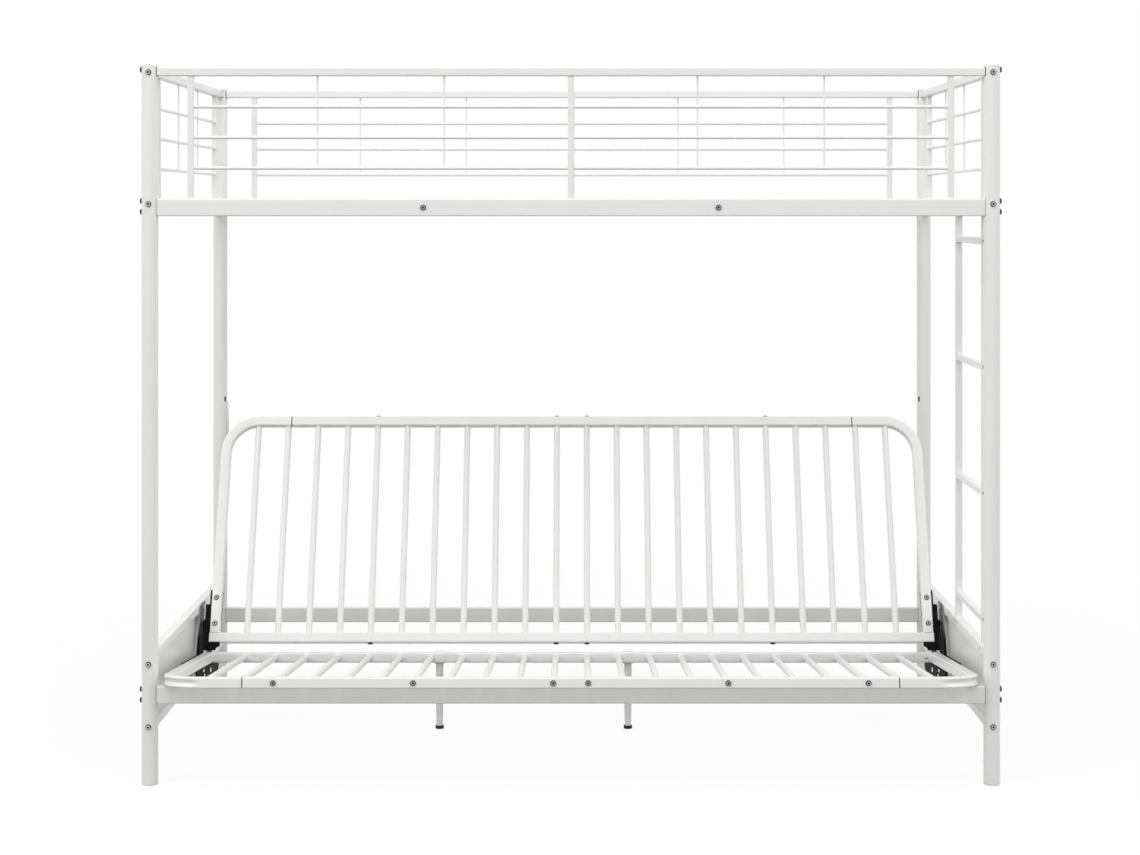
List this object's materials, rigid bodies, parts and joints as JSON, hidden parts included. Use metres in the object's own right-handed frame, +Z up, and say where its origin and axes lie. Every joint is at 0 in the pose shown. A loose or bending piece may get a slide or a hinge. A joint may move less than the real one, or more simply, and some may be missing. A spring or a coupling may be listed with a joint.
{
  "type": "bunk bed",
  "caption": "Tubular steel bunk bed: a guarded upper bunk with an end ladder over a slatted sofa frame that folds flat into a bed.",
  "frame": {"origin": "on the floor, under the centre of the whole bed's bounding box", "axes": "+X along the bed towards the ladder end, -Y to the front of the sofa, +Z up"},
  "size_m": [1.9882, 1.1124, 1.659],
  "materials": {
    "white_paint": "glossy white powder coat",
    "zinc": "bright zinc plate",
    "black_zinc": "satin black",
    "black_paint": "satin black",
    "white_plastic": "smooth",
    "black_plastic": "smooth"
  },
  "bodies": {
    "root": {"post_front_left": "white_paint", "post_front_right": "white_paint", "post_back_left": "white_paint", "post_back_right": "white_paint", "post_caps": "white_plastic", "post_feet": "white_plastic", "upper_rail_front": "white_paint", "upper_rail_back": "white_paint", "upper_end_rail_left": "white_paint", "upper_end_rail_right": "white_paint", "bunk_slats": "white_paint", "bunk_slat_bolts": "black_zinc", "guard_front": "white_paint", "guard_back": "white_paint", "guard_end_left": "white_paint", "guard_end_right": "white_paint", "lower_rail_front": "white_paint", "lower_rail_back": "white_paint", "side_panel_left": "white_paint", "side_panel_right": "white_paint", "ladder_rail_front": "white_paint", "ladder_rail_back": "white_paint", "ladder_rungs": "white_paint", "ladder_bolts": "black_zinc", "ladder_screws": "zinc", "post_side_bolts": "zinc", "post_face_bolts": "zinc", "fixed_plate_left": "black_paint", "fixed_plate_right": "black_paint", "link_pins": "zinc", "fixed_plate_bolts": "zinc"},
    "seat": {"seat_front_rail": "white_paint", "seat_side_left": "white_paint", "seat_side_right": "white_paint", "seat_rear_rail": "white_paint", "seat_joiners": "zinc", "seat_slats": "white_paint", "seat_rail_bolts": "black_zinc", "seat_bracket_left": "black_paint", "seat_bracket_right": "black_paint", "seat_bracket_bolts": "zinc", "pivot_pins": "zinc", "guide_rollers": "zinc", "centre_legs": "white_paint", "centre_leg_feet": "black_plastic"},
    "back": {"back_top_rail": "white_paint", "back_side_left": "white_paint", "back_side_right": "white_paint", "back_bottom_rail": "white_paint", "back_joiners": "zinc", "back_slats": "white_paint", "back_rail_bolts": "black_zinc", "back_bracket_left": "black_paint", "back_bracket_right": "black_paint", "back_bracket_bolts": "zinc"},
    "link_left": {"drive_link_left": "black_paint"},
    "link_right": {"drive_link_right": "black_paint"}
  },
  "joints": [
    {"name": "seat_slide", "type": "slide", "parent": "root", "child": "seat", "axis": [0, -0.9941, 0.1089], "range_m": [0, 0.2]},
    {"name": "back_recline", "type": "hinge", "parent": "seat", "child": "back", "pos_m": [0, 0.1323, 0.17215], "axis": [-1, 0, 0], "range_deg": [0, 66.33]},
    {"name": "link_left_swing", "type": "hinge", "parent": "root", "child": "link_left", "pos_m": [-0.951, 0.11007, 0.15809], "axis": [1, 0, 0], "range_deg": [0, 87.94]},
    {"name": "link_right_swing", "type": "hinge", "parent": "root", "child": "link_right", "pos_m": [0.951, 0.11007, 0.15809], "axis": [1, 0, 0], "range_deg": [0, 87.94]}
  ],
  "couplings": [
    {"joint": "back_recline", "follows": "seat_slide", "rad_per_m": 5.7881},
    {"joint": "link_left_swing", "follows": "seat_slide", "rad_per_m": 7.674},
    {"joint": "link_right_swing", "follows": "seat_slide", "rad_per_m": 7.674}
  ]
}
